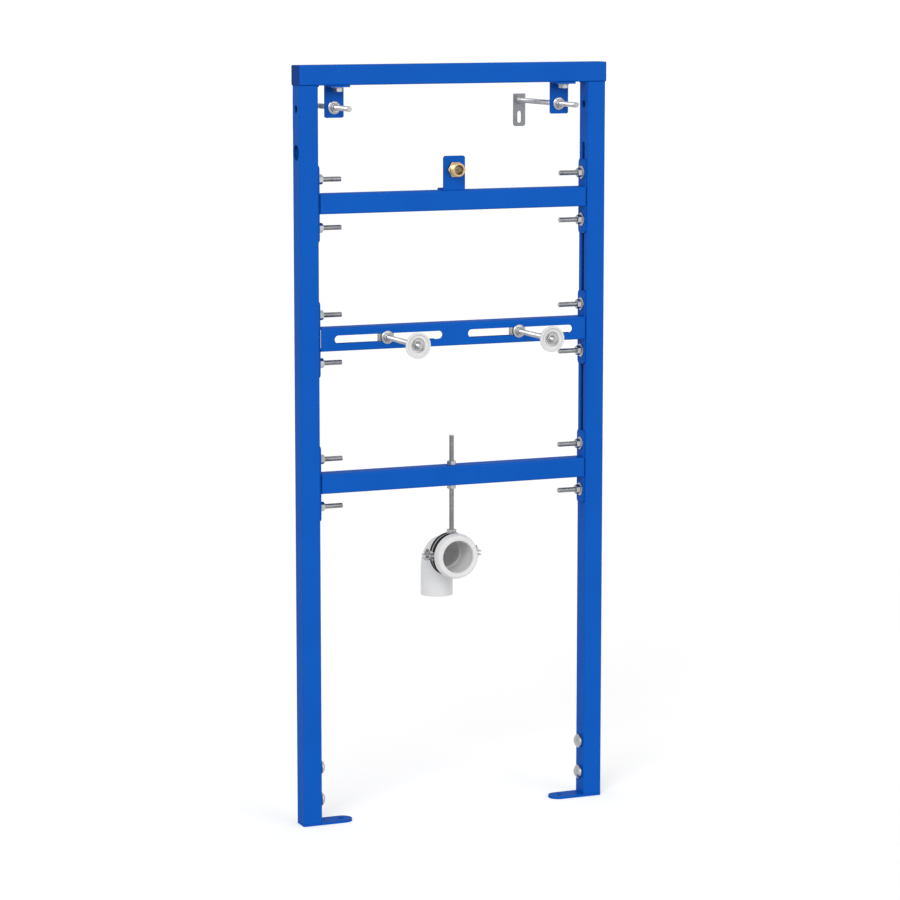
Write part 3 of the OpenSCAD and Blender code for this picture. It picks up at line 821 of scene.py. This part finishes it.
@dataclass
class FixingSet:
    """The two long fixing studs with their flange nuts and cup nuts."""

    z: float = 742.5 * MM
    places: Tuple[Tuple[Side, float], ...] = ((Side.LEFT, 111 * MM), (Side.RIGHT, 106 * MM))
    tail: float = 5 * MM
    front: float = -15 * MM
    tip: float = -145 * MM
    cup_floor: float = -129.5 * MM

    def spots(self, y: float) -> List[Tuple[Point, Facing]]:
        """Lists both stud places at one depth, facing the front."""
        return [((side.x(x), y, self.z), Facing.FRONT) for side, x in self.places]

    def build(self, box: Paintbox) -> int:
        """Builds and mounts studs and nuts.

        Args:
            box: The finishes.

        Returns:
            The number of pieces.
        """
        bar = ThreadedBar(self.tail - self.tip).build()
        for (side, x), spot in zip(self.places, self.spots(self.tail)):
            name = side.name.lower()
            box.mount(copy_to(bar, f"{name}_threaded_fixing_stud", [spot]), "bright_zinc",
                      f"{name}_fixing_stud")
        nut = HexNut(flange=20 * MM).build()
        box.mount(copy_to(nut, "fixing_stud_flange_nuts", self.spots(self.front)), "bright_zinc",
                  "fixing_flange_nuts")
        small = HexNut(height=5 * MM).build()
        box.mount(copy_to(small, "recessed_cup_nuts", self.spots(self.cup_floor)), "bright_zinc",
                  "cup_nuts")
        discard(bar, nut, small)
        return 4


@dataclass
class DrainHanger:
    """The drain's threaded rod, nuts, clamp screws, lip seal and mould seam."""

    axis_z: float = 401 * MM
    bar_z: float = 525 * MM
    bar_half: float = 15 * MM
    rod_low: float = 436.2 * MM
    rod_high: float = 586 * MM
    screw_x: float = 40.5 * MM
    ear: float = 3.7 * MM
    head_t: float = 2.3 * MM
    small_nut: float = 4 * MM
    tail: float = 3.7 * MM
    mouth: float = -27 * MM
    bend_y: float = 26.5 * MM
    bend_r: float = 32 * MM
    pipe_r: float = 25 * MM
    spigot_len: float = 40 * MM

    def rod(self, box: Paintbox) -> None:
        """Builds the hanging rod and its two lock nuts.

        Args:
            box: The finishes.
        """
        bar = ThreadedBar(self.rod_high - self.rod_low).build()
        box.mount(copy_to(bar, "threaded_drain_rod", [((MIDDLE, 0, self.rod_low), Facing.UP)]),
                  "bright_zinc", "drain_rod")
        nut = HexNut().build()
        spots = [((MIDDLE, 0, self.bar_z + self.bar_half), Facing.UP),
                 ((MIDDLE, 0, self.bar_z - self.bar_half), Facing.DOWN)]
        box.mount(copy_to(nut, "drain_lock_nuts", spots), "bright_zinc", "drain_rod_nuts")
        discard(bar, nut)

    def screws(self, box: Paintbox) -> None:
        """Builds the two clamp screws, slotted heads below and nuts on top.

        Args:
            box: The finishes.
        """
        head = lathe([(0, 0), (4.75 * MM, 0), (4.75 * MM, 1.1 * MM), (4.4 * MM, 1.8 * MM),
                      (3.6 * MM, self.head_t), (0, self.head_t)], 40)
        deselect()
        bpy.ops.mesh.primitive_cube_add(
            size=1, location=(0, 0, self.head_t), scale=(12 * MM, 1.1 * MM, 2.0 * MM),
            rotation=(0, 0, math.radians(25)),
        )
        combine(head, settle(bpy.context.active_object, "slot"), "DIFFERENCE")
        smooth(head, 30)
        shank = ThreadedBar(2 * self.ear + self.small_nut + self.tail, radius=2.5 * MM,
                            pitch=0.8 * MM, depth=0.42 * MM, chamfer=0.6 * MM, steps=14).build()
        nut = HexNut(across=8 * MM, height=self.small_nut, bore=2.6 * MM).build()
        pieces: List[bpy.types.Object] = []
        for side in Side:
            x = side.x(self.screw_x)
            low = self.axis_z - self.ear
            pieces.append(copy_to(head, "head", [((x, 0, low), Facing.DOWN)]))
            pieces.append(copy_to(shank, "shank", [((x, 0, low), Facing.UP)]))
            pieces.append(copy_to(nut, "nut", [((x, 0, self.axis_z + self.ear), Facing.UP)]))
        box.mount(settle(join(pieces), "slotted_clamp_screws"), "bright_zinc", "clamp_screws")
        discard(head, shank, nut)

    def seal(self, box: Paintbox) -> None:
        """Builds the lip seal inside the socket's mouth.

        Args:
            box: The finishes.
        """
        ring = lathe([(25.19 * MM, 1.6 * MM), (24.7 * MM, 1.8 * MM), (24.2 * MM, 2.8 * MM),
                      (23.9 * MM, 5.6 * MM), (24.1 * MM, 6.0 * MM), (24.7 * MM, 5.0 * MM),
                      (25.19 * MM, 4.8 * MM)], 64)
        smooth(ring, 50)
        spot = [((MIDDLE, self.mouth, self.axis_z), Facing.WALL)]
        box.mount(copy_to(ring, "socket_lip_seal", spot), "grey_lip_seal")
        discard(ring)

    def seam(self, box: Paintbox) -> None:
        """Builds the fine mould seam over the back of the bend.

        Args:
            box: The finishes.
        """
        radius = 0.45 * MM
        top = self.axis_z + self.pipe_r
        deselect()
        bpy.ops.mesh.primitive_circle_add(
            vertices=8, radius=radius, fill_type="NGON",
            location=(MIDDLE, self.bend_y - 3 * MM, top), rotation=(math.radians(90), 0, 0),
        )
        obj = settle(bpy.context.active_object, "seam")
        edit_all(obj)
        bpy.ops.mesh.extrude_region_move(TRANSFORM_OT_translate={"value": (0, 3 * MM, 0)})
        bpy.ops.mesh.spin(steps=20, angle=math.radians(90), axis=(1, 0, 0),
                          center=(MIDDLE, self.bend_y, self.axis_z - self.bend_r))
        bpy.ops.mesh.extrude_region_move(
            TRANSFORM_OT_translate={"value": (0, 0, -self.spigot_len + 0.5 * MM)})
        leave_edit()
        clean_shell(obj)
        smooth(obj, 50)
        box.mount(settle(obj, "bend_mould_seam"), "white_moulding")

    def build(self, box: Paintbox) -> int:
        """Builds and mounts all drain pieces.

        Args:
            box: The finishes.

        Returns:
            The number of pieces.
        """
        self.rod(box)
        self.screws(box)
        self.seal(box)
        self.seam(box)
        return 5


@dataclass
class WaterInlet:
    """The brass fitting with its threaded stub, hexagon, neck, tail and lock nut."""

    front_y: float = -11 * MM
    z: float = 991.5 * MM
    bore: float = 7 * MM
    bore_chamfer: float = 0.9 * MM
    stub: float = 12.5 * MM
    stub_r: float = 10.4 * MM
    undercut: float = 0.5 * MM
    pitch: float = 1.814 * MM
    thread_depth: float = 1.0 * MM
    hex_across: float = 22 * MM
    hex_t: float = 7 * MM
    plate_t: float = 3 * MM
    neck: float = 9 * MM
    tail: float = 9 * MM
    tail_r: float = 8.3 * MM
    tail_pitch: float = 1.337 * MM
    tail_depth: float = 0.8 * MM
    nut_across: float = 26 * MM
    nut_h: float = 5 * MM

    def core(self) -> bpy.types.Object:
        """Builds the plain core that carries the threads.

        Returns:
            The core, upright, with the hexagon's seat at Z = 0.
        """
        sunk = 1 * MM
        overlap = 0.1 * MM
        thin = self.tail_r - self.tail_depth - overlap
        wide = self.stub_r - self.thread_depth - overlap
        low = -self.neck - self.tail + sunk
        high = self.hex_t + self.stub - sunk
        return lathe([(0, low), (thin, low), (thin, -self.neck), (wide, sunk - self.neck),
                      (wide, high), (0, high)], 48)

    def drill(self) -> bpy.types.Object:
        """Builds the drill of the waterway, which chamfers the stub's mouth.

        Returns:
            The drill.
        """
        low = -30 * MM
        mouth = self.hex_t + self.stub
        past = mouth + 5 * MM
        wide = self.bore + self.bore_chamfer
        return lathe([(0, low), (self.bore, low), (self.bore, mouth - 0.8 * MM),
                      (wide, mouth + 0.1 * MM), (wide, past), (0, past)], 64)

    def build(self, box: Paintbox) -> int:
        """Builds and mounts the fitting and its nut.

        Args:
            box: The finishes.

        Returns:
            The number of pieces.
        """
        thread = ThreadedBar(self.stub - self.undercut, radius=self.stub_r, pitch=self.pitch,
                             depth=self.thread_depth, chamfer=1.2 * MM, steps=40).build()
        rear = ThreadedBar(self.neck, radius=self.stub_r, pitch=self.pitch,
                           depth=self.thread_depth, chamfer=1.0 * MM, steps=40).build()
        tail = ThreadedBar(self.tail, radius=self.tail_r, pitch=self.tail_pitch,
                           depth=self.tail_depth, chamfer=1.0 * MM, steps=36).build()
        hexagon = HexNut(across=self.hex_across, height=self.hex_t, bore=0.0).build()
        body = [
            copy_to(hexagon, "hex", [((0, 0, 0), Facing.UP)]),
            copy_to(thread, "thread", [((0, 0, self.hex_t + self.undercut), Facing.UP)]),
            copy_to(rear, "rear", [((0, 0, -self.neck), Facing.UP)]),
            copy_to(tail, "tail", [((0, 0, -self.neck - self.tail), Facing.UP)]),
            self.core(),
        ]
        for part in body:
            combine(part, self.drill(), "DIFFERENCE")
            smooth(part, 28)
        whole = join(body)
        fitting = copy_to(whole, "threaded_water_inlet",
                          [((MIDDLE, self.front_y, self.z), Facing.FRONT)])
        discard(whole, thread, rear, tail, hexagon)
        box.mount(fitting, "turned_brass", "water_inlet")
        nut = HexNut(across=self.nut_across, height=self.nut_h, bore=self.stub_r + 0.1 * MM).build()
        spot = [((MIDDLE, self.front_y + self.plate_t, self.z), Facing.WALL)]
        box.mount(copy_to(nut, "inlet_lock_nut", spot), "turned_brass", "water_inlet_nut")
        discard(nut)
        return 2


@dataclass
class WeldSeams:
    """Rippled fillet welds at the rear of the frame's joints, under the powder coat."""

    tube: float = 30 * MM
    radius: float = 2.1 * MM
    ripple: float = 1.7 * MM
    bars: Tuple[float, ...] = (0.945, 0.525)
    bar_half: float = 217.5 * MM
    post_in: float = 220 * MM
    rail_low: float = 1120 * MM

    def bead(self, length: float) -> bpy.types.Object:
        """Builds one bead upright, from the origin.

        Args:
            length: Its length.

        Returns:
            The bead.
        """
        count = max(3, round(length / self.ripple))
        step = length / count
        points: List[Tuple[float, float]] = [(0.0, 0.0)]
        for i in range(count):
            swell = 1 + 0.06 * math.sin(2.3 * i)
            for share, size in ((0.05, 0.86), (0.45, 1.0), (0.8, 0.97)):
                points.append((self.radius * size * swell, (i + share) * step))
        points.append((0.0, length))
        obj = lathe(points, 12)
        smooth(obj, 60)
        return obj

    def build(self, box: Paintbox) -> int:
        """Builds and mounts all welds as one piece.

        Args:
            box: The finishes.

        Returns:
            The number of pieces.
        """
        rear = self.tube / 2
        upright = self.bead(self.tube - 6 * MM)
        cross = self.bead(self.tube - 5 * MM)
        welds: List[bpy.types.Object] = []
        for side in Side:
            end = side.x(self.bar_half)
            for z in self.bars:
                low = z - self.tube / 2 + 3 * MM
                welds.append(copy_to(upright, "weld", [((end, rear - 0.6 * MM, low), Facing.UP)]))
            corner = (side.x(self.post_in - 0.3 * MM), rear - 2.5 * MM, self.rail_low - 0.3 * MM)
            welds.append(copy_to(cross, "weld", [(corner, Facing.FRONT)]))
        box.mount(settle(join(welds), "frame_welds"), "blue_powder_coat")
        discard(upright, cross)
        return 1


# Finishes of the model's own nodes

NODE_FINISH: Dict[str, str] = {
    **dict.fromkeys(
        ("left_post", "right_post", "top_rail", "left_foot", "right_foot", "upper_crossbar",
         "slotted_crossbar", "lower_crossbar", "upper_clamp_plates", "middle_clamp_plates",
         "lower_clamp_plates", "water_bracket", "left_top_bracket", "right_top_bracket"),
        "blue_powder_coat"),
    **dict.fromkeys(("left_end_cap", "right_end_cap"), "blue_cap_plastic"),
    **dict.fromkeys(("left_wall_plate", "right_wall_plate"), "matt_zinc_plate"),
    **dict.fromkeys(("left_fixing_cup", "right_fixing_cup", "drain_bend"), "white_moulding"),
    "clamp_lining": "black_lining_rubber",
}


def dress_nodes(nodes: Dict[str, bpy.types.Object], box: Paintbox) -> int:
    """Puts a finish into every slot of the model's own nodes.

    Args:
        nodes: The model's nodes by name.
        box: The finishes.

    Returns:
        The number of nodes.
    """
    for name, obj in nodes.items():
        material = box.made[NODE_FINISH.get(name, "bright_zinc")]
        if not obj.material_slots:
            obj.data.materials.append(material)
        for slot in obj.material_slots:
            slot.material = material
    return len(nodes)


# Stage


def seen_rays(tree: bpy.types.NodeTree) -> bpy.types.NodeSocket:
    """Tells the rays of the camera, of gloss and of transmission from the rest.

    Args:
        tree: The node tree that gets the nodes.

    Returns:
        A factor, 1 for those rays and 0 for all others.
    """
    path = tree.nodes.new("ShaderNodeLightPath")
    factor = path.outputs["Is Camera Ray"]
    for name in ("Is Glossy Ray", "Is Transmission Ray"):
        either = tree.nodes.new("ShaderNodeMath")
        either.operation = "MAXIMUM"
        tree.links.new(factor, either.inputs[0])
        tree.links.new(path.outputs[name], either.inputs[1])
        factor = either.outputs[0]
    return factor


@dataclass
class Studio:
    """Camera, lamps, world and floor."""

    eye: Point = (-1.7446, -4.5500, 1.2928)
    yaw: float = 23.205
    pitch: float = 8.387
    focal_px: float = 3275.4
    frame_px: float = 900.0
    sensor_mm: float = 36.0
    ambient: float = 0.55
    key: float = 1.25
    fill: float = 0.55
    floor_size: float = 400.0
    floor_grey: float = 0.84
    floor_glow: float = 0.37

    def camera(self) -> None:
        """Sets the camera at the photograph's viewing angle."""
        data = bpy.data.cameras.new("view")
        data.sensor_width = self.sensor_mm
        data.lens = self.sensor_mm * self.focal_px / self.frame_px
        data.clip_end = self.floor_size
        camera = bpy.data.objects.new("view", data)
        camera.location = self.eye
        camera.rotation_euler = (math.radians(90 - self.pitch), 0, math.radians(-self.yaw))
        bpy.context.scene.collection.objects.link(camera)
        bpy.context.scene.camera = camera

    def lamp(self, name: str, strength: float, turn: Tuple[float, float], soft: float) -> None:
        """Adds a soft distant lamp.

        Args:
            name: Its name.
            strength: Its strength.
            turn: Height and compass turn of its light, in degrees.
            soft: Its angular size, in degrees.
        """
        data = bpy.data.lights.new(name, "SUN")
        data.energy = strength
        data.angle = math.radians(soft)
        lamp = bpy.data.objects.new(name, data)
        lamp.rotation_euler = (math.radians(90 - turn[0]), 0, math.radians(turn[1]))
        bpy.context.scene.collection.objects.link(lamp)

    def world(self) -> None:
        """Makes a world that is white to the camera and to gloss, and softer as light."""
        world = bpy.data.worlds.new("studio")
        bpy.context.scene.world = world
        world.use_nodes = True
        tree = world.node_tree
        tree.nodes.clear()
        mix = tree.nodes.new("ShaderNodeMixShader")
        out = tree.nodes.new("ShaderNodeOutputWorld")
        link = tree.links.new
        link(seen_rays(tree), mix.inputs[0])
        for strength, socket in ((self.ambient, mix.inputs[1]), (1.0, mix.inputs[2])):
            sky = tree.nodes.new("ShaderNodeBackground")
            sky.inputs["Color"].default_value = (1, 1, 1, 1)
            sky.inputs["Strength"].default_value = strength
            link(sky.outputs[0], socket)
        link(mix.outputs[0], out.inputs["Surface"])

    def floor(self) -> None:
        """Lays the pale floor, which keeps the object's shadow."""
        deselect()
        bpy.ops.mesh.primitive_plane_add(size=self.floor_size, location=(0, 0, 0))
        plane = settle(bpy.context.active_object, "floor")
        material = bpy.data.materials.new("floor_white")
        material.use_nodes = True
        tree = material.node_tree
        shader = tree.nodes["Principled BSDF"]
        shader.inputs["Base Color"].default_value = (*[self.floor_grey] * 3, 1)
        shader.inputs["Roughness"].default_value = 1.0
        shader.inputs["Specular IOR Level"].default_value = 0.0
        glow = tree.nodes.new("ShaderNodeEmission")
        glow.inputs["Strength"].default_value = self.floor_glow
        add = tree.nodes.new("ShaderNodeAddShader")
        mix = tree.nodes.new("ShaderNodeMixShader")
        out = tree.nodes["Material Output"]
        link = tree.links.new
        link(shader.outputs[0], add.inputs[0])
        link(glow.outputs[0], add.inputs[1])
        link(seen_rays(tree), mix.inputs[0])
        link(shader.outputs[0], mix.inputs[1])
        link(add.outputs[0], mix.inputs[2])
        link(mix.outputs[0], out.inputs["Surface"])
        plane.data.materials.append(material)

    def build(self) -> None:
        """Builds the whole stage."""
        bpy.context.scene.view_settings.view_transform = "Standard"
        self.camera()
        self.lamp("key", self.key, (28.0, -38.0), 30.0)
        self.lamp("fill", self.fill, (20.0, 20.0), 40.0)
        self.world()
        self.floor()


def main() -> None:
    """Builds the looks in order."""
    logging.basicConfig(level=logging.INFO, format="%(message)s")
    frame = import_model()
    Studio().build()
    box = Paintbox()
    LOG.info("nodes dressed: %d", dress_nodes(frame["nodes"], box))
    for piece in (CrossbarClamps(), WallTies(), FixingSet(), DrainHanger(), WaterInlet(), WeldSeams()):
        LOG.info("%s: %d pieces", type(piece).__name__, piece.build(box))


if __name__ == "__main__":
    main()
